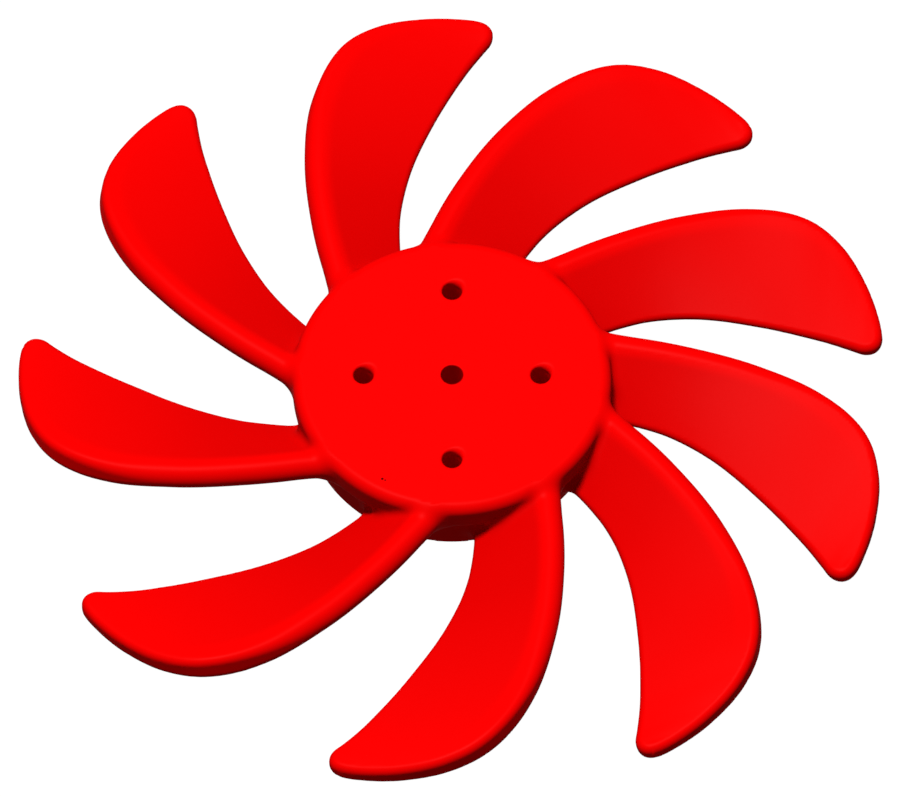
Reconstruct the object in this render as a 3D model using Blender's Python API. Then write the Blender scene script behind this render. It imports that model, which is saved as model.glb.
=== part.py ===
"""Nine-blade axial fan impeller, moulded hub with swept blades.

Blender 4.5 script. Run it with blender --background --python part.py or from
the text editor. Metres, +Z is the fan's axis and points out of the front face,
and the origin is the centre of the hub's back face, on which the part rests.
"""

import math

import bmesh
import bpy
from mathutils import Matrix, Vector

MM = 0.001

# Hub sizes
HUB_DEPTH = 37.5 * MM
RIM_RADIUS = 72.0 * MM
SKIRT_RADIUS = 66.0 * MM
RIM_EDGE_ROUNDING = 5.0 * MM
RIM_EDGE_FACETS = 4
STEP_LOW = 18.5 * MM
STEP_HIGH = 24.5 * MM
STEP_FACETS = 4
PLATE_THICKNESS = 6.0 * MM
RIM_WALL = 5.0 * MM
SKIRT_WALL = 5.0 * MM
HUB_SEGMENTS = 72

# Bore, bolt holes and their bosses
BORE_RADIUS = 5.0 * MM
BOLT_RADIUS = 4.5 * MM
BOLT_REACH_X = 40.0 * MM
BOLT_REACH_Y = 44.5 * MM
CENTRE_BOSS_RADIUS = 16.0 * MM
BOLT_BOSS_RADIUS = 9.5 * MM
HOLE_SEGMENTS = 24
CUTTER_TURN = math.pi / HOLE_SEGMENTS / 2
DRILL_OVERRUN = 5.0 * MM

# Ribs inside the hub
RIB_THICKNESS = 4.0 * MM
RIB_SETBACK = 2.0 * MM

# Blades
CONCAVE_EDGE_RADIUS = 2.5 * MM
CONVEX_EDGE_RADIUS = 6.5 * MM
THICKENING = (0.24, 0.75)
ROOT_FILLET = 4.0 * MM
ROOT_TOP = 34.0 * MM

# Each blade's own place, clockwise from the top: how far its tip and the concave
# and convex sides of its root are turned from an even spacing (degrees), and how
# much longer it is (mm)
BLADES = (
    (-5.2, -4.2, -4.3, 0.3),
    (-4.2, -4.3, -1.3, -1.9),
    (-2.0, -3.4, -4.2, -3.4),
    (1.8, 0.3, -1.6, 2.1),
    (4.7, 7.3, 6.4, 6.8),
    (4.0, 5.9, 8.1, 1.8),
    (2.4, 3.5, 2.8, -1.0),
    (0.7, -2.3, -2.8, -4.5),
    (-2.2, -2.8, -3.2, -0.2),
)
BLADE_COUNT = len(BLADES)
FIRST_TIP_ANGLE = 92.5

# The centre line of one blade's rounded edge, for a blade whose tip lies along
# +X: distance from the axis (mm), angle ahead of the tip (degrees), height (mm).
# It runs out along the concave side, round the tip and back along the convex
# side, and points at the same distance from the two ends face each other
EDGE_POINTS = (
    (72.0, 21.7, 12.3),
    (81.2, 20.2, 13.6),
    (99.0, 17.1, 15.5),
    (121.4, 12.2, 16.7),
    (144.8, 6.9, 16.3),
    (163.1, 3.4, 15.3),
    (177.2, 1.0, 14.5),
    (187.6, -0.8, 14.2),
    (193.2, -1.6, 14.4),
    (196.4, -1.0, 14.8),
    (196.4, 1.7, 15.8),
    (194.6, 6.8, 18.4),
    (190.1, 12.7, 22.1),
    (180.7, 17.9, 25.1),
    (160.5, 23.5, 26.4),
    (135.1, 28.8, 27.6),
    (106.8, 34.8, 28.3),
    (83.8, 40.9, 28.4),
    (72.0, 45.4, 28.3),
)
TIP = len(EDGE_POINTS) // 2
ROOT_HEIGHTS = (-2.0, 0.4, 1.6, 4.0, 8.0)
LEAST_FLARE_HEIGHT = 0.4 * MM
SPAN_PLACES = (1.0, 1.5, 2.0, 2.5, 3.0, 3.5, 4.0, 4.5, 5.0, 5.5, 6.0, 6.5, 7.0, 7.5, 8.0, 8.35, 8.7)
NORMAL_STEADY_BEFORE_TIP = 0.3
SIDE_POINTS = 6
ARC_POINTS = 3

# Gap between pieces that touch
GAP = 0.3 * MM

RED = (0.80, 0.002, 0.002, 1.0)


def clear_scene():
    """Remove every object from the scene."""
    for item in list(bpy.data.objects):
        bpy.data.objects.remove(item, do_unlink=True)


def make_material(name, colour, roughness=0.42):
    """A moulded plastic finish of its own for one piece."""
    material = bpy.data.materials.new(name + "_finish")
    material.use_nodes = True
    shader = material.node_tree.nodes["Principled BSDF"]
    shader.inputs["Base Color"].default_value = colour
    shader.inputs["Roughness"].default_value = roughness
    shader.inputs["Metallic"].default_value = 0.0
    material.diffuse_color = colour
    return material


def make_object(name, mesh_data):
    """Turn a bmesh into a named object with its own material."""
    bmesh.ops.recalc_face_normals(mesh_data, faces=mesh_data.faces)
    mesh = bpy.data.meshes.new(name)
    mesh_data.to_mesh(mesh)
    mesh_data.free()
    mesh.materials.append(make_material(name, RED))
    mesh.shade_smooth()
    mesh.set_sharp_from_angle(angle=math.radians(40))
    item = bpy.data.objects.new(name, mesh)
    bpy.context.scene.collection.objects.link(item)
    return item


# Turned and drilled pieces

def turned(name, outline, segments=HUB_SEGMENTS):
    """Turn a closed outline of (radius, height) points about the fan's axis."""
    mesh_data = bmesh.new()
    rings = []
    for index in range(segments):
        angle = 2 * math.pi * index / segments
        direction = Vector((math.cos(angle), math.sin(angle), 0))
        ring = [mesh_data.verts.new(direction * radius + Vector((0, 0, height)))
                for radius, height in outline]
        rings.append(ring)
    for index, ring in enumerate(rings):
        following = rings[(index + 1) % segments]
        for point in range(len(outline)):
            after = (point + 1) % len(outline)
            mesh_data.faces.new((ring[point], ring[after], following[after], following[point]))
    return make_object(name, mesh_data)


def hide_cutter(cutter):
    """Mark an object as a cutter, which is no part of the impeller."""
    cutter.hide_render = True
    cutter.display_type = "WIRE"
    return cutter


def cylinder_cutter(name, radius, centre, low, high):
    """A hidden cylinder that drills a hole."""
    mesh_data = bmesh.new()
    bmesh.ops.create_cone(mesh_data, cap_ends=True, segments=HOLE_SEGMENTS,
                          radius1=radius, radius2=radius, depth=high - low)
    turn = Matrix.Rotation(CUTTER_TURN, 3, "Z")
    bmesh.ops.rotate(mesh_data, verts=mesh_data.verts, cent=(0, 0, 0), matrix=turn)
    bmesh.ops.translate(mesh_data, verts=mesh_data.verts,
                        vec=(centre[0], centre[1], (low + high) / 2))
    return hide_cutter(make_object(name, mesh_data))


def cut(item, cutter):
    """Cut one object's shape out of another with a Boolean modifier."""
    modifier = item.modifiers.new(cutter.name, "BOOLEAN")
    modifier.operation = "DIFFERENCE"
    modifier.solver = "EXACT"
    modifier.object = cutter


def hub_radius(height):
    """The hub's outer radius: rounded front edge, rim, smooth step, skirt."""
    edge_start = HUB_DEPTH - RIM_EDGE_ROUNDING
    if height > edge_start:
        rise = min(height - edge_start, RIM_EDGE_ROUNDING)
        inset = RIM_EDGE_ROUNDING - math.sqrt(RIM_EDGE_ROUNDING ** 2 - rise ** 2)
        return RIM_RADIUS - inset
    share = (height - STEP_LOW) / (STEP_HIGH - STEP_LOW)
    share = min(max(share, 0.0), 1.0)
    share = share * share * (3 - 2 * share)
    return SKIRT_RADIUS + (RIM_RADIUS - SKIRT_RADIUS) * share


def bolt_places():
    """The four bolt holes, clockwise from the top."""
    return ((0, BOLT_REACH_Y), (BOLT_REACH_X, 0), (0, -BOLT_REACH_Y), (-BOLT_REACH_X, 0))


def front_disc():
    """The flat front disc and its rim, a shallow cup open to the back."""
    underside = HUB_DEPTH - PLATE_THICKNESS
    inner = RIM_RADIUS - RIM_WALL - (RIM_RADIUS - SKIRT_RADIUS)
    outline = [(inner, underside), (inner, STEP_LOW + GAP)]
    heights = [STEP_LOW + GAP] + rim_steps()[1:]
    outline += [(hub_radius(height), height) for height in heights]
    for index in range(RIM_EDGE_FACETS + 1):
        turn = math.pi / 2 * index / RIM_EDGE_FACETS
        outline.append((RIM_RADIUS - RIM_EDGE_ROUNDING * (1 - math.cos(turn)),
                        HUB_DEPTH - RIM_EDGE_ROUNDING * (1 - math.sin(turn))))
    outline += [(BORE_RADIUS, HUB_DEPTH), (BORE_RADIUS, underside)]
    disc = turned("hub_front_disc", outline)
    for index, place in enumerate(bolt_places(), start=1):
        cutter = cylinder_cutter(f"bolt_hole_cutter_{index}", BOLT_RADIUS, place,
                                 underside - DRILL_OVERRUN, HUB_DEPTH + DRILL_OVERRUN)
        cut(disc, cutter)
    return disc


def rim_steps():
    """Heights at which the turned wall follows its smooth step."""
    step = (STEP_HIGH - STEP_LOW) / STEP_FACETS
    return [STEP_LOW + step * index for index in range(STEP_FACETS + 1)]


def root_cutter():
    """The hub's outer shape grown by the gap, which trims the blades' roots."""
    outline = [(SKIRT_RADIUS / 2, HUB_DEPTH), (SKIRT_RADIUS / 2, -GAP), (SKIRT_RADIUS + GAP, -GAP)]
    outline += [(hub_radius(height) + GAP, height) for height in rim_steps()]
    outline += [(RIM_RADIUS + GAP, HUB_DEPTH)]
    return hide_cutter(turned("blade_root_cutter", outline))


def skirt():
    """The ring wall behind the front disc, on which the part rests."""
    inner = SKIRT_RADIUS - SKIRT_WALL
    outline = [(inner, STEP_LOW), (inner, 0), (SKIRT_RADIUS, 0), (SKIRT_RADIUS, STEP_LOW)]
    return turned("hub_skirt", outline)


def boss(name, place, hole_radius, outer_radius):
    """A tube behind the front disc that carries a hole to the back face."""
    top = HUB_DEPTH - PLATE_THICKNESS - GAP
    outline = [(hole_radius, top), (hole_radius, 0), (outer_radius, 0), (outer_radius, top)]
    item = turned(name, outline, HOLE_SEGMENTS)
    item.location = (place[0], place[1], 0)
    return item


def rib(name, start, end):
    """A flat web between two pieces of the hub, from point to point."""
    start, end = Vector(start), Vector(end)
    low, high = RIB_SETBACK, HUB_DEPTH - PLATE_THICKNESS - GAP
    length = (end - start).length
    mesh_data = bmesh.new()
    bmesh.ops.create_cube(mesh_data, size=1.0)
    bmesh.ops.scale(mesh_data, verts=mesh_data.verts, vec=(length, RIB_THICKNESS, high - low))
    item = make_object(name, mesh_data)
    middle = (start + end) / 2
    item.location = (middle.x, middle.y, (low + high) / 2)
    item.rotation_euler = (0, 0, math.atan2(end.y - start.y, end.x - start.x))
    return item


def wall_reach(radius, half_width):
    """How far from a round wall's centre a flat end must start to clear it."""
    return math.sqrt(radius ** 2 - half_width ** 2)


def ribs():
    """Cross ribs through the bolt bosses and four diagonal ribs between them."""
    half = RIB_THICKNESS / 2
    skirt_end = wall_reach(SKIRT_RADIUS - SKIRT_WALL, half) - 2 * GAP
    for index, place in enumerate(bolt_places(), start=1):
        place = Vector(place)
        outward = place.normalized()
        inner_end = place - outward * (BOLT_BOSS_RADIUS + GAP)
        rib(f"inner_rib_{index}", outward * (CENTRE_BOSS_RADIUS + GAP), inner_end)
        rib(f"outer_rib_{index}", place + outward * (BOLT_BOSS_RADIUS + GAP), outward * skirt_end)
        diagonal = Matrix.Rotation(math.radians(-45), 2) @ Vector((round(outward.x), round(outward.y)))
        rib(f"diagonal_rib_{index}", diagonal * (CENTRE_BOSS_RADIUS + GAP), diagonal * skirt_end)


# Blades

def smooth_between(before, start, end, after, share):
    """A smooth curve through the middle two of four values."""
    return 0.5 * (2 * start + (end - before) * share
                  + (2 * before - 5 * start + 4 * end - after) * share ** 2
                  + (3 * start - before - 3 * end + after) * share ** 3)


def edge_point(place, row):
    """A point of the edge's centre line, at a place counted along EDGE_POINTS.

    The row is the blade's own row of BLADES, seen from its tip.
    """
    last = len(EDGE_POINTS) - 1
    index = min(int(place), last - 1)
    share = place - index
    around = [EDGE_POINTS[min(max(index + shift, 0), last)] for shift in (-1, 0, 1, 2)]
    radius, angle, height = (smooth_between(*values, share) for values in zip(*around))
    tip_shift, concave_shift, convex_shift, longer = row
    root_shift = concave_shift if place < TIP else convex_shift
    root_radius, tip_radius = EDGE_POINTS[0][0], EDGE_POINTS[TIP][0]
    outward = (radius - root_radius) / (tip_radius - root_radius)
    turn = math.radians(angle + (root_shift - tip_shift) * (1 - outward))
    radius += longer * outward
    return Vector((radius * math.cos(turn), radius * math.sin(turn), height)) * MM


def edge_direction(place, row):
    """The direction in which the edge's centre line runs."""
    step = 0.05
    low = max(place - step, 0)
    high = min(place + step, 2 * TIP)
    return (edge_point(high, row) - edge_point(low, row)).normalized()


def sheet_normal(place, row):
    """The upward normal of the blade's middle surface, across a section."""
    place = min(place, TIP - NORMAL_STEADY_BEFORE_TIP)
    chord = edge_point(2 * TIP - place, row) - edge_point(place, row)
    outward = edge_direction(place, row) - edge_direction(2 * TIP - place, row)
    up = outward.cross(chord).normalized()
    return up if up.z > 0 else -up


def edge_radius(place):
    """The rounded edge's radius: thin on the concave side, thick on the convex side.

    It grows round the tip, between the two shares of the edge's length in THICKENING.
    """
    start, end = THICKENING
    share = min(max((place / (2 * TIP) - start) / (end - start), 0.0), 1.0)
    return CONCAVE_EDGE_RADIUS + (CONVEX_EDGE_RADIUS - CONCAVE_EDGE_RADIUS) * share


def arc(place, row, up, radius, start):
    """The rounded edge of a section, from its upper (1) or lower (-1) side on."""
    centre = edge_point(place, row)
    aside = edge_direction(place, row).cross(up).normalized()
    points = []
    for index in range(1, ARC_POINTS + 1):
        turn = start * (math.pi / 2 - math.pi * index / (ARC_POINTS + 1))
        points.append(centre + (aside * math.cos(turn) + up * math.sin(turn)) * radius)
    return points


def section(place, row, flare=0.0):
    """A plate that thickens evenly between two facing points of the rounded edge."""
    facing = 2 * TIP - place
    concave, convex = edge_point(place, row), edge_point(facing, row)
    thin, thick = edge_radius(place) + flare, edge_radius(facing) + flare
    up = sheet_normal(place, row)
    upper, lower = [], []
    for index in range(SIDE_POINTS):
        share = index / (SIDE_POINTS - 1)
        half = thin + (thick - thin) * share
        middle = concave.lerp(convex, share)
        upper.append(middle + up * half)
        lower.insert(0, middle - up * half)
    return upper + arc(facing, row, up, thick, 1) + lower + arc(place, row, up, thin, -1)


def root_section(height, row):
    """A flared section that lies at a constant distance from the hub's wall."""
    rise = ROOT_FILLET - min(max(height, LEAST_FLARE_HEIGHT), ROOT_FILLET)
    flare = ROOT_FILLET - math.sqrt(ROOT_FILLET ** 2 - rise ** 2)
    station_step = (EDGE_POINTS[1][0] - EDGE_POINTS[0][0]) * MM
    wrapped = []
    for point in section(max(height, 0.0) / station_step, row, flare):
        height_here = min(point.z, ROOT_TOP)
        flat = Vector((point.x, point.y, 0)).normalized() * (hub_radius(height_here) + height)
        wrapped.append(Vector((flat.x, flat.y, height_here)))
    return wrapped


def blade_sections(row):
    """All sections of a blade, from inside the hub's wall to just short of the tip."""
    sections = [root_section(height * MM, row) for height in ROOT_HEIGHTS]
    sections += [section(place, row) for place in SPAN_PLACES]
    return sections


def close_root(mesh_data, ring):
    """Close a section with strips across its thickness and fans at its round ends."""
    count = len(ring)
    for index in range(SIDE_POINTS - 1):
        low = 2 * SIDE_POINTS + ARC_POINTS - 1 - index
        mesh_data.faces.new((ring[index], ring[index + 1], ring[low - 1], ring[low]))
    first = SIDE_POINTS - 1
    mesh_data.faces.new([ring[first + index] for index in range(ARC_POINTS + 2)])
    last = count - ARC_POINTS - 1
    mesh_data.faces.new([ring[(last + index) % count] for index in range(ARC_POINTS + 2)])


def close_tip(mesh_data, ring, row):
    """Draw the last section together onto the half circle at the tip."""
    up = sheet_normal(TIP, row)
    centre = edge_point(TIP, row)
    radius = edge_radius(TIP)
    points = [centre + up * radius]
    points += arc(TIP, row, up, radius, 1)
    points += [centre - up * radius]
    tip = [mesh_data.verts.new(point) for point in points]
    onto = [tip[0]] * SIDE_POINTS + tip[1:-1] + [tip[-1]] * SIDE_POINTS + tip[-2:0:-1]
    for index in range(len(ring)):
        after = (index + 1) % len(ring)
        corners = [ring[index], ring[after], onto[after]]
        if onto[index] is not onto[after]:
            corners.append(onto[index])
        mesh_data.faces.new(corners)


def blade(number, cutter):
    """One blade, turned to its own place round the hub and trimmed to its wall."""
    mesh_data = bmesh.new()
    row = BLADES[number - 1]
    rings = [[mesh_data.verts.new(point) for point in ring] for ring in blade_sections(row)]
    for ring, following in zip(rings, rings[1:]):
        for index in range(len(ring)):
            after = (index + 1) % len(ring)
            mesh_data.faces.new((ring[index], ring[after], following[after], following[index]))
    close_root(mesh_data, rings[0])
    close_tip(mesh_data, rings[-1], row)
    item = make_object(f"blade_{number}", mesh_data)
    step = 360.0 / BLADE_COUNT
    tip_angle = FIRST_TIP_ANGLE - step * (number - 1) + row[0]
    item.rotation_euler = (0, 0, math.radians(tip_angle))
    cut(item, cutter)
    return item


def main():
    """Build the whole impeller."""
    clear_scene()
    front_disc()
    skirt()
    boss("centre_boss", (0, 0), BORE_RADIUS, CENTRE_BOSS_RADIUS)
    for index, place in enumerate(bolt_places(), start=1):
        boss(f"bolt_boss_{index}", place, BOLT_RADIUS, BOLT_BOSS_RADIUS)
    ribs()
    cutter = root_cutter()
    for number in range(1, BLADE_COUNT + 1):
        blade(number, cutter)


main()
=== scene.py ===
"""Looks of the nine-blade axial fan impeller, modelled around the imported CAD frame.

The real impeller is one moulding, so its surface is worked out as one: the hub and
the blades are distance fields joined by fillets, and a mesh of the CAD solids is
drawn onto the joined surface. The mesh is then divided into the hub and nine blades.
"""

import math

import bmesh
import bpy
import numpy as np
from mathutils import Matrix, Vector
from mathutils.bvhtree import BVHTree


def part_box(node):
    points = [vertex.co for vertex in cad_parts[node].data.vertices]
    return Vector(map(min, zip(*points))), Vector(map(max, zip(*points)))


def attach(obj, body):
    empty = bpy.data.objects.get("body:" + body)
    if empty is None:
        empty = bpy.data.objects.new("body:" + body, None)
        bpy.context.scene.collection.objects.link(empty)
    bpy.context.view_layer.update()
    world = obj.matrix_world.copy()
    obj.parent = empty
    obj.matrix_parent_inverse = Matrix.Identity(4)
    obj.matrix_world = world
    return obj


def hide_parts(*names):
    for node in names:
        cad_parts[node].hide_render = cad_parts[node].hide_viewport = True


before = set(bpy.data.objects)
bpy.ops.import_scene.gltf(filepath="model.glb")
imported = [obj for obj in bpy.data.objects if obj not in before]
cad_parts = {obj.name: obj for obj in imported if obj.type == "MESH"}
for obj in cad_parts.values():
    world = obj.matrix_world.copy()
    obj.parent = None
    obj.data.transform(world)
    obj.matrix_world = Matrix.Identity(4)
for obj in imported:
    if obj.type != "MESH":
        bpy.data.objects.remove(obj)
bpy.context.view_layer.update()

MM = 0.001

# Sizes read from the frame
DISC_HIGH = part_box("hub_front_disc")[1]
SKIRT_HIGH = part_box("hub_skirt")[1]
HUB_DEPTH = DISC_HIGH.z
RIM_RADIUS = DISC_HIGH.x
SKIRT_RADIUS = SKIRT_HIGH.x

# Hub: walls, edges and fillets
PLATE_THICKNESS = 6.0 * MM
SKIRT_WALL = 5.0 * MM
RIM_LOW = 21.0 * MM
RIM_ROUNDING = 5.0 * MM
SKIRT_TOP = 30.0 * MM
SKIRT_ROUNDING = 1.0 * MM
STEP_FILLET = 4.0 * MM
POCKET_ROUNDING = 3.0 * MM
POCKET_EDGE = 1.2 * MM
INNER_FILLET = 2.5 * MM
INNER_ROUNDING = 0.8 * MM
BORE_RADIUS = 5.0 * MM
BORE_EDGE = 0.4 * MM
BOLT_RADIUS = 4.5 * MM
BOLT_COUNT = 4
RIB_COUNT = 4
THROUGH = 10.0 * MM

# Mouths of the bolt holes: the sharpest and the softest edge, the direction in which
# it is softest, and how narrow that soft part is
BOLT_EDGE = (1.2 * MM, 3.5 * MM)
BOLT_EDGE_SOFTEST = math.radians(50)
BOLT_EDGE_FOCUS = 8

# Blades: the centre line of one blade's rounded edge, for a blade whose tip lies
# along +X: distance from the axis (mm), angle ahead of the tip (degrees), height (mm)
EDGE_POINTS = (
    (72.0, 21.7, 12.3),
    (81.2, 20.2, 13.6),
    (99.0, 17.1, 15.5),
    (121.4, 12.2, 16.7),
    (144.8, 6.9, 16.3),
    (163.1, 3.4, 15.3),
    (177.2, 1.0, 14.5),
    (187.6, -0.8, 14.2),
    (193.2, -1.6, 14.4),
    (196.4, -1.0, 14.8),
    (196.4, 1.7, 15.8),
    (194.6, 6.8, 18.4),
    (190.1, 12.7, 22.1),
    (180.7, 17.9, 25.1),
    (160.5, 23.5, 26.4),
    (135.1, 28.8, 27.6),
    (106.8, 34.8, 28.3),
    (83.8, 40.9, 28.4),
    (72.0, 45.4, 28.3),
)
TIP = len(EDGE_POINTS) // 2

# Each blade's own place, clockwise from the top: how far its tip and the concave
# and convex sides of its root are turned from an even spacing (degrees), and how
# much longer it is (mm)
BLADES = (
    (-5.2, -4.2, -4.3, 0.3),
    (-4.2, -4.3, -1.3, -1.9),
    (-2.0, -3.4, -4.2, -3.4),
    (1.8, 0.3, -1.6, 2.1),
    (4.7, 7.3, 6.4, 6.8),
    (4.0, 5.9, 8.1, 1.8),
    (2.4, 3.5, 2.8, -1.0),
    (0.7, -2.3, -2.8, -4.5),
    (-2.2, -2.8, -3.2, -0.2),
)
BLADE_COUNT = len(BLADES)
FIRST_TIP_ANGLE = 92.5

# A blade's rounded edge: its radius on each side, and between which shares of the way
# round the blade it grows from one to the other
CONCAVE_EDGE_RADIUS = 2.5 * MM
CONVEX_EDGE_RADIUS = 6.5 * MM
THICKENING = (0.24, 0.75)

# The thick edge gets squarer towards the tip: its corners' radius there, the distances
# from the axis between which it changes, and how far out the corners' middle lies
EDGE_CORNER = 3.5 * MM
SQUARING = (135.0 * MM, 180.0 * MM)
EDGE_REACH = 0.85

# The plate lies a little below its edge: how much, and how wide the slope to it is
LIP_HEIGHT = 0.35 * MM
LIP_WIDTH = 0.16

# A blade's root: where its middle surface begins in the hub, counted along EDGE_POINTS,
# and the fillet low on the wall and high under the rim, with the two heights
ROOT_PLACE = -0.8
ROOT_FILLETS = (9.0 * MM, 5.0 * MM)
ROOT_FILLET_HEIGHTS = (20.0 * MM, 28.0 * MM)

# How finely the middle surface is divided, and how far around it the blade is joined on
SPAN_STEPS = 180
CHORD_STEPS = 36
BLADE_REACH = 15.0 * MM

# Where the moulding is split into hub and blades
SPLIT_REACH = 75.0 * MM
SPLIT_ZONE = (67.0 * MM, 86.0 * MM)

# Painted shade: the thin plates are painted a darker red than the thick edges, most of all near the
# hub, standing in for the shade there; on the hub it runs out between two distances from a plate
PAINTED_SHADE_FADE = 0.14
PAINTED_SHADE_START = 110.0 * MM
PAINTED_SHADE_END = 205.0 * MM
ROOT_PAINTED_SHADE_NEAR = 8.0 * MM
ROOT_PAINTED_SHADE_FAR = 14.0 * MM

# Mesh: the step of the first skin, how it is drawn onto the surface, and the finer
# faces round the mouths of the holes
VOXEL = 1.4 * MM
GAP_CLOSING = 0.4 * MM
ROUNDS = 8
RELAXING = 0.5
WELD = 0.01 * MM
LEAST_SLOPE = 0.1
FINE_REACH = 9.0 * MM
FINE_DEPTH = 6.0 * MM
FINE_ROUNDS = 2

# Least length and area that anything is divided by
TINY = 1e-9
TINY_AREA = 1e-24

# Finish
BRIGHT_RED = (0.72, 0.0002, 0.0002, 1)
# The darker red is painted shade on the plates and by the roots, and also the flow marks' colour
SHADE_AND_FLOW_RED = (0.57, 0.0002, 0.0002, 1)
SPECK_RED = (0.05, 0.0, 0.0, 1)
SPECKS = ((-31.4 * MM, -55.1 * MM, 0.55 * MM), (-30.1 * MM, -55.8 * MM, 0.35 * MM))
FLOW_SCALE = 25.0
FLOW_DETAIL = 3.0
FLOW_SHARE = 0.12
GRAIN_SCALE = 2500.0
GRAIN_DETAIL = 2.0
GRAIN_STRENGTH = 0.15
GRAIN_HEIGHT = 0.02 * MM
ROUGHNESS = 0.38
ROUGHNESS_RANGE = 0.1
SPECULAR = 0.01

# Floor and light
FLOOR_SIZE = 60.0
FLOOR_SHADE = (0.04, 0.04, 0.04, 1)
FLOOR_GLOW = 1.0
WHITE = (1, 1, 1, 1)
SUN_STRENGTH = 4.25
SUN_SPREAD = math.radians(12)
SUN_PLACE = (-0.12, 0.08, 1.0)
ROOM_STRENGTH = 0.125

# Camera: the photograph is 900 pixels wide, and the disc's centre lies at this pixel
PHOTO_SIZE = (900, 797)
DISC_PIXEL = (452.0, 374.5)
PIXEL_SIZE = 0.4515 * MM
ELEVATION = math.radians(58.6)
LENS = 1200.0
SENSOR = 36.0
CLIP_START = 0.1
CLIP_DISTANCES = 3


# Distance fields, each a pair: signed distances, and the directions in which they grow

def unit(slope):
    """Directions of length one."""
    return slope / np.maximum(np.linalg.norm(slope, axis=1), TINY)[:, None]


def smooth_union(first, second, fillet):
    """Join two fields with a fillet in their corner."""
    (near, near_slope), (far, far_slope) = first, second
    share = np.clip(0.5 + 0.5 * (far - near) / fillet, 0.0, 1.0)
    distance = far + (near - far) * share - fillet * share * (1 - share)
    slope = far_slope + (near_slope - far_slope) * share[:, None]
    return distance, slope


def turned_out(field):
    """The same surface with its inside and outside swapped."""
    return -field[0], -field[1]


def smooth_cut(body, tool, rounding):
    """Cut one field out of another and round the edge of the cut."""
    return turned_out(smooth_union(turned_out(body), tool, rounding))


def rounded(side, end, rounding):
    """A rounded corner from the distances to a side and to an end, and its slope in each."""
    out_side, out_end = np.maximum(side, 0), np.maximum(end, 0)
    length = np.hypot(out_side, out_end)
    distance = length + np.minimum(np.maximum(side, end), 0) - rounding
    safe = np.maximum(length, TINY)
    along_side = np.where(length > 0, out_side / safe, side > end)
    along_end = np.where(length > 0, out_end / safe, side <= end)
    return distance, along_side, along_end


def round_cylinder(points, centre, radius, low, high, rounding):
    """An upright cylinder with rounded edges."""
    flat = points[:, :2] - np.array(centre)
    reach = np.maximum(np.hypot(flat[:, 0], flat[:, 1]), TINY)
    height = points[:, 2] - (low + high) / 2
    side = reach - (radius - rounding)
    end = np.abs(height) - ((high - low) / 2 - rounding)
    distance, along_side, along_end = rounded(side, end, rounding)
    slope = np.column_stack((flat / reach[:, None] * along_side[:, None],
                             np.sign(height) * along_end))
    return distance, slope


def web(points, low, high, turn, length, width, rounding):
    """An upright flat web through the axis, turned about it, with rounded edges."""
    along = np.array((math.cos(turn), math.sin(turn)))
    across = np.array((-along[1], along[0]))
    offset_along = points[:, :2] @ along
    offset_across = points[:, :2] @ across
    height = points[:, 2] - (low + high) / 2
    side = np.abs(offset_across) - (width / 2 - rounding)
    end = np.abs(height) - ((high - low) / 2 - rounding)
    distance, along_side, along_end = rounded(side, end, rounding)
    slope = np.column_stack((np.sign(offset_across)[:, None] * across * along_side[:, None],
                             np.sign(height) * along_end))
    past = np.abs(offset_along) - length / 2
    beyond = past > distance
    ends = np.column_stack((np.sign(offset_along)[:, None] * along, np.zeros(len(points))))
    return np.where(beyond, past, distance), np.where(beyond[:, None], ends, slope)


# The hub

def hub_body(points):
    """The rim and the skirt as one solid, with the smooth step between them."""
    rim = round_cylinder(points, (0, 0), RIM_RADIUS, RIM_LOW, HUB_DEPTH, RIM_ROUNDING)
    skirt = round_cylinder(points, (0, 0), SKIRT_RADIUS, 0, SKIRT_TOP, SKIRT_ROUNDING)
    return smooth_union(rim, skirt, STEP_FILLET)


def hub_pocket(points):
    """The hollow behind the front disc, open to the back."""
    return round_cylinder(points, (0, 0), SKIRT_RADIUS - SKIRT_WALL, -THROUGH,
                          HUB_DEPTH - PLATE_THICKNESS, POCKET_ROUNDING)


def bolt_place(number):
    """The centre of a bolt hole, from its boss in the frame."""
    low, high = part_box(f"bolt_boss_{number}")
    return ((low.x + high.x) / 2, (low.y + high.y) / 2)


def hub_inside(points):
    """The bosses and the ribs behind the front disc."""
    top = HUB_DEPTH - PLATE_THICKNESS / 2
    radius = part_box("centre_boss")[1].x
    field = round_cylinder(points, (0, 0), radius, 0, top, INNER_ROUNDING)
    for number in range(1, BOLT_COUNT + 1):
        low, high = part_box(f"bolt_boss_{number}")
        boss = round_cylinder(points, bolt_place(number), (high.x - low.x) / 2, 0, top, INNER_ROUNDING)
        field = smooth_union(field, boss, INNER_FILLET)
    rib_low, rib_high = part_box("inner_rib_1")
    for index in range(RIB_COUNT):
        rib = web(points, rib_low.z, top, math.pi / RIB_COUNT * index, 2 * SKIRT_RADIUS - SKIRT_WALL,
                  rib_high.x - rib_low.x, INNER_ROUNDING)
        field = smooth_union(field, rib, INNER_FILLET)
    return field


# The blades

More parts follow.
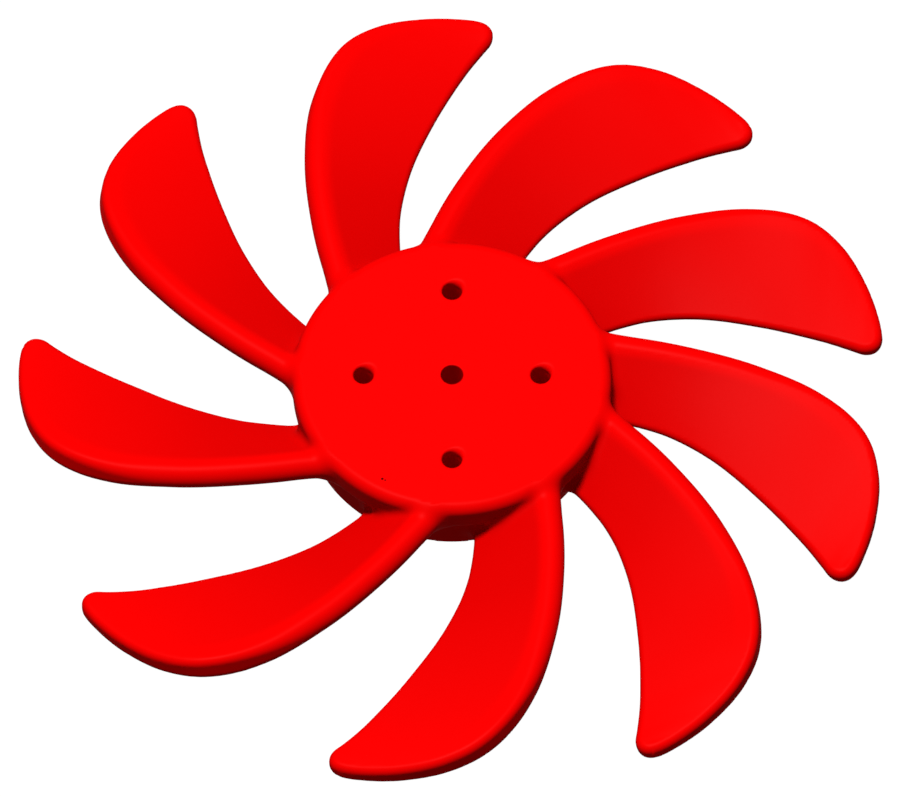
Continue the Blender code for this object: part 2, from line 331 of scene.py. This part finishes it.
def edge_curve(places, row):
    """Points of the rounded edge's centre line, at places counted along EDGE_POINTS.

    The row is the blade's own row of BLADES, seen from its tip. Beyond both ends
    the line runs straight on into the hub.
    """
    table = np.array(EDGE_POINTS)
    last = len(table) - 1
    within = np.clip(places, 0, last)
    beyond = (places - within)[:, None]
    index = np.clip(np.floor(within).astype(int), 0, last - 1)
    share = (within - index)[:, None]
    before, start, end, after = (table[np.clip(index + shift, 0, last)] for shift in (-1, 0, 1, 2))
    values = 0.5 * (2 * start + (end - before) * share
                    + (2 * before - 5 * start + 4 * end - after) * share ** 2
                    + (3 * start - before - 3 * end + after) * share ** 3)
    values += beyond * np.where(beyond < 0, table[1] - table[0], table[-1] - table[-2])
    tip_shift, concave_shift, convex_shift, longer = row
    outward = (values[:, 0] - table[0, 0]) / (table[TIP, 0] - table[0, 0])
    root_shift = np.where(places < TIP, concave_shift, convex_shift)
    angle = np.radians(values[:, 1] + (root_shift - tip_shift) * (1 - outward))
    radius = values[:, 0] + longer * outward
    return np.column_stack((radius * np.cos(angle), radius * np.sin(angle), values[:, 2])) * MM


def edge_radius(places):
    """The rounded edge's radius: thin on the concave side, thick on the convex side."""
    start, end = THICKENING
    share = np.clip((places / (2 * TIP) - start) / (end - start), 0, 1)
    return CONCAVE_EDGE_RADIUS + (CONVEX_EDGE_RADIUS - CONCAVE_EDGE_RADIUS) * share


def smooth_step(value):
    """A smooth rise from 0 to 1."""
    value = np.clip(value, 0, 1)
    return value * value * (3 - 2 * value)


def blade_sheet(number):
    """The middle surface of one blade, with its half thickness and its painted shade at each point."""
    row = BLADES[number - 1]
    places = np.linspace(ROOT_PLACE, TIP, SPAN_STEPS)
    concave, convex = edge_curve(places, row), edge_curve(2 * TIP - places, row)
    shares = np.linspace(0, 1, CHORD_STEPS)
    grid = concave[:, None] + (convex - concave)[:, None] * shares[None, :, None]
    thin, thick = edge_radius(places)[:, None], edge_radius(2 * TIP - places)[:, None]
    near_tip = np.clip(TIP - places, 0, 1)[:, None]
    lip = LIP_HEIGHT * smooth_step(shares / LIP_WIDTH) * (1 - shares) * near_tip
    half = thin + (thick - thin) * shares - lip
    turn = math.radians(FIRST_TIP_ANGLE - 360 / BLADE_COUNT * (number - 1) + row[0])
    turning = np.array(Matrix.Rotation(turn, 3, "Z"))
    points = grid.reshape(-1, 3) @ turning.T
    reach = np.hypot(points[:, 0], points[:, 1])
    # Painted shade: darker on the plate away from the thick edge, and more so nearer the hub
    painted_shade = np.tile(smooth_step((1 - shares) / PAINTED_SHADE_FADE), SPAN_STEPS)
    painted_shade *= np.clip((PAINTED_SHADE_END - reach) / (PAINTED_SHADE_END - PAINTED_SHADE_START), 0, 1)
    corner = np.arange((SPAN_STEPS - 1) * CHORD_STEPS).reshape(-1, CHORD_STEPS)[:, :-1].ravel()
    first = np.column_stack((corner, corner + 1, corner + CHORD_STEPS))
    second = np.column_stack((corner + 1, corner + CHORD_STEPS + 1, corner + CHORD_STEPS))
    triangles = np.concatenate((first, second))
    tree = BVHTree.FromPolygons(points.tolist(), triangles.tolist())
    return {"tree": tree, "points": points, "triangles": triangles,
            "values": np.column_stack((half.ravel(), painted_shade))}


def shares_in_triangles(places, corners):
    """Barycentric shares of places in their triangles."""
    first, second, third = corners[:, 0], corners[:, 1], corners[:, 2]
    side_a, side_b, inner = second - first, third - first, places - first
    aa, ab, bb = ((side_a * side_a).sum(1), (side_a * side_b).sum(1), (side_b * side_b).sum(1))
    ia, ib = (inner * side_a).sum(1), (inner * side_b).sum(1)
    size = np.maximum(aa * bb - ab * ab, TINY_AREA)
    share_a = np.clip((bb * ia - ab * ib) / size, 0, 1)
    share_b = np.clip((aa * ib - ab * ia) / size, 0, 1)
    return np.column_stack((1 - share_a - share_b, share_a, share_b))


def nearest_on_sheet(points, sheet):
    """The nearest places on a blade's middle surface, with the half thickness and painted shade there.
    """
    found = [sheet["tree"].find_nearest(point) for point in points.tolist()]
    places = np.array([hit[0][:] for hit in found])
    upright = np.array([hit[1][:] for hit in found])
    corners = sheet["triangles"][np.array([hit[2] for hit in found])]
    shares = shares_in_triangles(places, sheet["points"][corners])
    return places, upright, (sheet["values"][corners] * shares[:, :, None]).sum(1)


def blade_field(points, sheet):
    """The distance to a blade, whose thick edge is squarer than a half circle."""
    places, upright, values = nearest_on_sheet(points, sheet)
    away = points - places
    height = (away * upright).sum(1)
    aside = away - upright * height[:, None]
    reach = np.linalg.norm(aside, axis=1)
    half = values[:, 0]
    start, end = SQUARING
    squared = smooth_step((np.hypot(places[:, 0], places[:, 1]) - start) / (end - start))
    corner = np.minimum(half, CONVEX_EDGE_RADIUS + (EDGE_CORNER - CONVEX_EDGE_RADIUS) * squared)
    above = np.abs(height) - (half - corner)
    beyond = reach - (half - corner) * EDGE_REACH
    up = upright * np.sign(height)[:, None]
    outward = aside / np.maximum(reach, TINY)[:, None]
    above_share, beyond_share = np.maximum(above, 0), np.maximum(beyond, 0)
    inside = (above_share + beyond_share) <= 0
    above_share = np.where(inside, above >= beyond, above_share)
    beyond_share = np.where(inside, above < beyond, beyond_share)
    length = np.hypot(above_share, beyond_share)
    slope = (up * above_share[:, None] + outward * beyond_share[:, None]) / length[:, None]
    distance = np.where(inside, np.maximum(above, beyond), length) - corner
    return distance, slope


def root_fillet(points):
    """The fillet where a blade meets the hub, which is widest low on the wall."""
    start, end = ROOT_FILLET_HEIGHTS
    low, high = ROOT_FILLETS
    return low + (high - low) * smooth_step((points[:, 2] - start) / (end - start))


def with_blades(points, field, sheets):
    """Join the blades to the hub's field, each only where it is near."""
    distance, slope = field
    for sheet in sheets:
        low, high = sheet["points"].min(0) - BLADE_REACH, sheet["points"].max(0) + BLADE_REACH
        near = np.flatnonzero(((points > low) & (points < high)).all(1))
        if len(near) == 0:
            continue
        fillet = root_fillet(points[near])
        joined = smooth_union((distance[near], slope[near]), blade_field(points[near], sheet), fillet)
        distance[near], slope[near] = joined
    return distance, slope


def impeller(points, sheets):
    """The whole moulding's field."""
    distance, slope = with_blades(points, hub_body(points), sheets)
    over = points[:, 2] - HUB_DEPTH > distance
    distance = np.where(over, points[:, 2] - HUB_DEPTH, distance)
    slope = np.where(over[:, None], (0.0, 0.0, 1.0), slope)
    field = smooth_cut((distance, slope), hub_pocket(points), POCKET_EDGE)
    field = smooth_union(field, hub_inside(points), INNER_FILLET)
    bore = round_cylinder(points, (0, 0), BORE_RADIUS, -THROUGH, HUB_DEPTH + THROUGH, 0)
    field = smooth_cut(field, bore, BORE_EDGE)
    for number in range(1, BOLT_COUNT + 1):
        place = bolt_place(number)
        hole = round_cylinder(points, place, BOLT_RADIUS, -THROUGH, HUB_DEPTH + THROUGH, 0)
        field = smooth_cut(field, hole, mouth_rounding(points, place))
    return field


def mouth_rounding(points, place):
    """The rounding of a bolt hole's mouth, which is softest to the upper right."""
    turn = np.arctan2(points[:, 1] - place[1], points[:, 0] - place[0]) - BOLT_EDGE_SOFTEST
    sharp, soft = BOLT_EDGE
    return sharp + (soft - sharp) * ((1 + np.cos(turn)) / 2) ** BOLT_EDGE_FOCUS


# The mesh

def cad_start():
    """The CAD solids grown to close the gaps between them, remeshed as one closed skin."""
    joined = bmesh.new()
    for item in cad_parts.values():
        part = bmesh.new()
        part.from_mesh(item.data)
        bmesh.ops.remove_doubles(part, verts=part.verts, dist=WELD)
        part.normal_update()
        for vertex in part.verts:
            vertex.co += vertex.normal * GAP_CLOSING
        mesh = bpy.data.meshes.new("start_part")
        part.to_mesh(mesh)
        part.free()
        joined.from_mesh(mesh)
        bpy.data.meshes.remove(mesh)
    mesh = bpy.data.meshes.new("start")
    joined.to_mesh(mesh)
    joined.free()
    item = bpy.data.objects.new("start", mesh)
    bpy.context.scene.collection.objects.link(item)
    modifier = item.modifiers.new("voxels", "REMESH")
    modifier.mode = "VOXEL"
    modifier.voxel_size = VOXEL
    modifier.adaptivity = 0.0
    shape = bpy.data.meshes.new_from_object(item.evaluated_get(bpy.context.evaluated_depsgraph_get()))
    bpy.data.objects.remove(item)
    return shape


def relaxed(points, edges, slope):
    """Points moved towards the middle of their neighbours, within the surface."""
    total = np.zeros_like(points)
    count = np.bincount(edges.ravel(), minlength=len(points))[:, None]
    np.add.at(total, edges[:, 0], points[edges[:, 1]])
    np.add.at(total, edges[:, 1], points[edges[:, 0]])
    move = total / np.maximum(count, 1) - points
    normal = unit(slope)
    move -= normal * (move * normal).sum(1)[:, None]
    return points + RELAXING * move


def drawn_on(points, field):
    """Points moved onto the surface that a field describes, by one Newton step."""
    distance, slope = field
    size = np.maximum((slope * slope).sum(1), LEAST_SLOPE)
    return points - slope * (distance / size)[:, None]


def hole_distance(points):
    """How far points lie from the nearest hole's axis."""
    places = [(0, 0)] + [bolt_place(number) for number in range(1, BOLT_COUNT + 1)]
    away = [np.hypot(points[:, 0] - place[0], points[:, 1] - place[1]) for place in places]
    return np.min(away, axis=0)


def refined(mesh):
    """Divide the faces round the mouths of the holes more finely."""
    shape = bmesh.new()
    shape.from_mesh(mesh)
    for _ in range(FINE_ROUNDS):
        points = np.array([vertex.co for vertex in shape.verts])
        near = (hole_distance(points) < FINE_REACH) & (points[:, 2] > HUB_DEPTH - FINE_DEPTH)
        shape.verts.index_update()
        edges = [edge for edge in shape.edges if all(near[corner.index] for corner in edge.verts)]
        bmesh.ops.subdivide_edges(shape, edges=edges, cuts=1, use_grid_fill=True)
    bmesh.ops.triangulate(shape, faces=[face for face in shape.faces if len(face.verts) > 4])
    shape.to_mesh(mesh)
    shape.free()


def read_points(mesh):
    """A mesh's vertices as rows of numbers."""
    points = np.zeros(len(mesh.vertices) * 3)
    mesh.vertices.foreach_get("co", points)
    return points.reshape(-1, 3)


def shaped(mesh, sheets):
    """Draw a mesh onto the moulding's surface and relax it there."""
    points = read_points(mesh)
    edges = np.zeros(len(mesh.edges) * 2, int)
    mesh.edges.foreach_get("vertices", edges)
    edges = edges.reshape(-1, 2)
    field = impeller(points, sheets)
    points = drawn_on(points, field)
    for _ in range(ROUNDS):
        points = relaxed(points, edges, field[1])
        field = impeller(points, sheets)
        points = drawn_on(points, field)
    points[:, 2] = np.clip(points[:, 2], 0, HUB_DEPTH)
    mesh.vertices.foreach_set("co", points.astype(np.float32).ravel())
    mesh.update()


# The hub and the blades as pieces

def root_angles(number):
    """The directions of a blade's concave and convex edges at its root."""
    tip_shift, concave_shift, convex_shift, _ = BLADES[number - 1]
    tip = FIRST_TIP_ANGLE - 360 / BLADE_COUNT * (number - 1)
    concave = tip + EDGE_POINTS[0][1] + concave_shift
    convex = tip + EDGE_POINTS[-1][1] + convex_shift
    return math.radians(concave), math.radians(convex)


def turned_by(angle, middle):
    """How far an angle lies from a middle one, between minus and plus half a turn."""
    return (angle - middle + math.pi) % (2 * math.pi) - math.pi


def divide_at_root(shape, number):
    """Split the moulding along a flat plane across one blade's root."""
    concave, convex = root_angles(number)
    middle = (concave + convex) / 2
    before = root_angles(number % BLADE_COUNT + 1)[1]
    after = root_angles((number - 2) % BLADE_COUNT + 1)[0]
    low = (turned_by(before, middle) + concave - middle) / 2
    high = (turned_by(after, middle) + convex - middle) / 2
    points = np.array([vertex.co for vertex in shape.verts])
    reach = np.hypot(points[:, 0], points[:, 1])
    turn = turned_by(np.arctan2(points[:, 1], points[:, 0]), middle)
    inside = (reach > SPLIT_ZONE[0]) & (reach < SPLIT_ZONE[1]) & (turn > low) & (turn < high)
    shape.verts.index_update()
    faces = [face for face in shape.faces if all(inside[vertex.index] for vertex in face.verts)]
    edges = {edge for face in faces for edge in face.edges}
    corners = {vertex for face in faces for vertex in face.verts}
    across = Vector((math.cos(middle), math.sin(middle), 0))
    result = bmesh.ops.bisect_plane(shape, geom=[*corners, *edges, *faces], dist=WELD,
                                    plane_co=across * SPLIT_REACH, plane_no=across)
    cut = [part for part in result["geom_cut"] if isinstance(part, bmesh.types.BMEdge)]
    bmesh.ops.split_edges(shape, edges=cut)


def closed(item):
    """Close the cuts through a piece with flat faces."""
    shape = bmesh.new()
    shape.from_mesh(item.data)
    for face in shape.faces:
        face.smooth = True
    rims = [edge for edge in shape.edges if edge.is_boundary]
    caps = bmesh.ops.holes_fill(shape, edges=rims, sides=0)["faces"]
    for face in caps:
        face.smooth = False
    bmesh.ops.triangulate(shape, faces=caps)
    shape.to_mesh(item.data)
    shape.free()


def divided(mesh):
    """The hub and the nine blades, cut out of the moulding's mesh."""
    shape = bmesh.new()
    shape.from_mesh(mesh)
    for number in range(1, BLADE_COUNT + 1):
        divide_at_root(shape, number)
    shape.to_mesh(mesh)
    shape.free()
    item = bpy.data.objects.new("moulding", mesh)
    bpy.context.scene.collection.objects.link(item)
    for other in bpy.context.selected_objects:
        other.select_set(False)
    item.select_set(True)
    bpy.context.view_layer.objects.active = item
    bpy.ops.mesh.separate(type="LOOSE")
    pieces = list(bpy.context.selected_objects)
    for piece in pieces:
        closed(piece)
    return pieces


def blade_number(item):
    """Which blade a piece is, from its end at the hub, or 0 for the hub."""
    points = read_points(item.data)
    reach = np.hypot(points[:, 0], points[:, 1])
    nearest = points[reach.argmin()]
    if reach.min() < SPLIT_ZONE[0]:
        return 0
    turn = math.atan2(nearest[1], nearest[0])
    gaps = [abs(turned_by(sum(root_angles(number)) / 2, turn)) for number in range(1, BLADE_COUNT + 1)]
    return gaps.index(min(gaps)) + 1


def painted_shade_at(points, sheets):
    """The blades' painted shade, which darkens the hub next to each root and runs out on the hub's
    wall and away from a blade's root.
    """
    reach = np.hypot(points[:, 0], points[:, 1])
    outward = smooth_step((reach - SKIRT_RADIUS) / (SPLIT_REACH - SKIRT_RADIUS))
    painted_shade = np.zeros(len(points))
    for sheet in sheets:
        places, _, values = nearest_on_sheet(points, sheet)
        away = np.linalg.norm(points - places, axis=1)
        near = 1 - smooth_step((away - ROOT_PAINTED_SHADE_NEAR) / (ROOT_PAINTED_SHADE_FAR - ROOT_PAINTED_SHADE_NEAR))
        painted_shade = np.maximum(painted_shade, values[:, 1] * outward * near)
    return painted_shade


def finish_surface(item, number, sheets):
    """Shade a piece by the moulding's own surface, so no seam shows, and store its painted shade.

    The number is the blade's, or 0 for the hub, which takes the painted shade of every root.
    """
    mesh = item.data
    points = read_points(mesh)
    normals = unit(impeller(points, sheets)[1])
    corners = np.zeros(len(mesh.loops), int)
    mesh.loops.foreach_get("vertex_index", corners)
    smooth = np.zeros(len(mesh.polygons), bool)
    mesh.polygons.foreach_get("use_smooth", smooth)
    sizes = np.zeros(len(mesh.polygons), int)
    mesh.polygons.foreach_get("loop_total", sizes)
    per_corner = normals[corners] * np.repeat(smooth, sizes)[:, None]
    mesh.normals_split_custom_set(per_corner.tolist())
    # Painted shade next to the roots, stored for the material to darken the red
    painted_shade = painted_shade_at(points, sheets[number - 1:number] if number else sheets)
    mesh.attributes.new("painted_shade", "FLOAT", "POINT").data.foreach_set("value", painted_shade.astype(np.float32))


# Finish

def link(material, start, end):
    """Join two sockets of a material's nodes."""
    material.node_tree.links.new(start, end)


def feed(material, sockets, values):
    """Give each socket its value, a plain one or another node's output."""
    for socket, value in zip(sockets, values):
        if isinstance(value, bpy.types.NodeSocket):
            link(material, value, socket)
        else:
            socket.default_value = value


def math_node(material, operation, *values):
    """A Math node fed by sockets or plain numbers."""
    node = material.node_tree.nodes.new("ShaderNodeMath")
    node.operation = operation
    feed(material, node.inputs, values)
    return node.outputs[0]


def noise(material, place, scale, detail):
    """A noise between 0 and 1 that lies in the object's own space."""
    node = material.node_tree.nodes.new("ShaderNodeTexNoise")
    node.inputs["Scale"].default_value = scale
    node.inputs["Detail"].default_value = detail
    link(material, place, node.inputs["Vector"])
    return node.outputs["Fac"]


def mixed(material, share, first, second):
    """A colour between two, by a share."""
    node = material.node_tree.nodes.new("ShaderNodeMix")
    node.data_type = "RGBA"
    link(material, share, node.inputs["Factor"])
    feed(material, (node.inputs["A"], node.inputs["B"]), (first, second))
    return node.outputs["Result"]


def red_plastic(name):
    """Moulded red plastic: painted darker where the painted shade says so, with faint flow marks and a
    fine grain.
    """
    material = bpy.data.materials.new(name)
    material.use_nodes = True
    nodes = material.node_tree.nodes
    shader = nodes["Principled BSDF"]
    place = nodes.new("ShaderNodeTexCoord").outputs["Object"]
    painted_shade = nodes.new("ShaderNodeAttribute")
    painted_shade.attribute_name = "painted_shade"
    # Painted shade: the red is darkened where the stored painted shade is high
    colour = mixed(material, painted_shade.outputs["Fac"], BRIGHT_RED, SHADE_AND_FLOW_RED)
    flow = math_node(material, "MULTIPLY", noise(material, place, FLOW_SCALE, FLOW_DETAIL), FLOW_SHARE)
    colour = mixed(material, flow, colour, SHADE_AND_FLOW_RED)
    for x, y, radius in SPECKS:
        distance = nodes.new("ShaderNodeVectorMath")
        distance.operation = "DISTANCE"
        link(material, place, distance.inputs[0])
        distance.inputs[1].default_value = (x, y, HUB_DEPTH)
        spot = math_node(material, "LESS_THAN", distance.outputs["Value"], radius)
        colour = mixed(material, spot, colour, SPECK_RED)
    link(material, colour, shader.inputs["Base Color"])
    grain = noise(material, place, GRAIN_SCALE, GRAIN_DETAIL)
    gloss = math_node(material, "MULTIPLY_ADD", grain, ROUGHNESS_RANGE, ROUGHNESS)
    link(material, gloss, shader.inputs["Roughness"])
    bump = nodes.new("ShaderNodeBump")
    bump.inputs["Strength"].default_value = GRAIN_STRENGTH
    bump.inputs["Distance"].default_value = GRAIN_HEIGHT
    link(material, grain, bump.inputs["Height"])
    link(material, bump.outputs["Normal"], shader.inputs["Normal"])
    shader.inputs["Specular IOR Level"].default_value = SPECULAR
    return material


# Stage

def make_floor():
    """A plain pale floor, which isn't part of the impeller."""
    bpy.ops.mesh.primitive_plane_add(size=FLOOR_SIZE, location=(0, 0, 0))
    floor = bpy.context.object
    floor.name = "floor"
    material = bpy.data.materials.new("floor_pale")
    material.use_nodes = True
    shader = material.node_tree.nodes["Principled BSDF"]
    shader.inputs["Base Color"].default_value = FLOOR_SHADE
    shader.inputs["Roughness"].default_value = 1.0
    shader.inputs["Specular IOR Level"].default_value = 0.0
    shader.inputs["Emission Color"].default_value = WHITE
    shader.inputs["Emission Strength"].default_value = FLOOR_GLOW
    floor.data.materials.append(material)
    floor.visible_diffuse = False
    floor.visible_glossy = False


def make_light():
    """A soft key light from above, leaning to the left, and a dim even room."""
    sun = bpy.data.lights.new("key", "SUN")
    sun.energy = SUN_STRENGTH
    sun.angle = SUN_SPREAD
    key = bpy.data.objects.new("key", sun)
    bpy.context.scene.collection.objects.link(key)
    key.rotation_mode = "QUATERNION"
    key.rotation_quaternion = Vector(SUN_PLACE).to_track_quat("Z", "Y")
    world = bpy.data.worlds.new("room")
    bpy.context.scene.world = world
    world.use_nodes = True
    background = world.node_tree.nodes["Background"]
    background.inputs["Color"].default_value = WHITE
    background.inputs["Strength"].default_value = ROOM_STRENGTH


def make_camera():
    """A long lens at the photograph's angle, framed so that the disc's centre fits."""
    data = bpy.data.cameras.new("camera")
    camera = bpy.data.objects.new("camera", data)
    bpy.context.scene.collection.objects.link(camera)
    data.lens = LENS
    data.sensor_width = SENSOR
    back = Vector((0, -math.cos(ELEVATION), math.sin(ELEVATION)))
    up = Vector((0, math.sin(ELEVATION), math.cos(ELEVATION)))
    right = (PHOTO_SIZE[0] / 2 - DISC_PIXEL[0]) * PIXEL_SIZE
    down = (PHOTO_SIZE[1] / 2 - DISC_PIXEL[1]) * PIXEL_SIZE
    distance = LENS / SENSOR * PHOTO_SIZE[0] * PIXEL_SIZE
    target = Vector((0, 0, HUB_DEPTH)) + Vector((right, 0, 0)) - up * down
    camera.location = target + back * distance
    camera.rotation_mode = "QUATERNION"
    camera.rotation_quaternion = back.to_track_quat("Z", "Y")
    data.clip_start, data.clip_end = CLIP_START, distance * CLIP_DISTANCES
    bpy.context.scene.camera = camera
    bpy.context.scene.view_settings.view_transform = "Standard"


# Assembly

def main():
    """Make everything."""
    sheets = [blade_sheet(number) for number in range(1, BLADE_COUNT + 1)]
    mesh = cad_start()
    refined(mesh)
    shaped(mesh, sheets)
    pieces = divided(mesh)
    hub_finish, blade_finish = red_plastic("hub_plastic"), red_plastic("blade_plastic")
    blades = [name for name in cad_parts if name.startswith("blade_")]
    others = [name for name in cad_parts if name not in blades]
    for item in pieces:
        number = blade_number(item)
        item.name = f"blade_{number}_moulded" if number else "hub_moulding"
        finish_surface(item, number, sheets)
        item.data.materials.clear()
        item.data.materials.append(blade_finish if number else hub_finish)
        item.visible_diffuse = number == 0
        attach(item, "root")
        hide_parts(*([f"blade_{number}"] if number else others))
    make_floor()
    make_light()
    make_camera()


main()
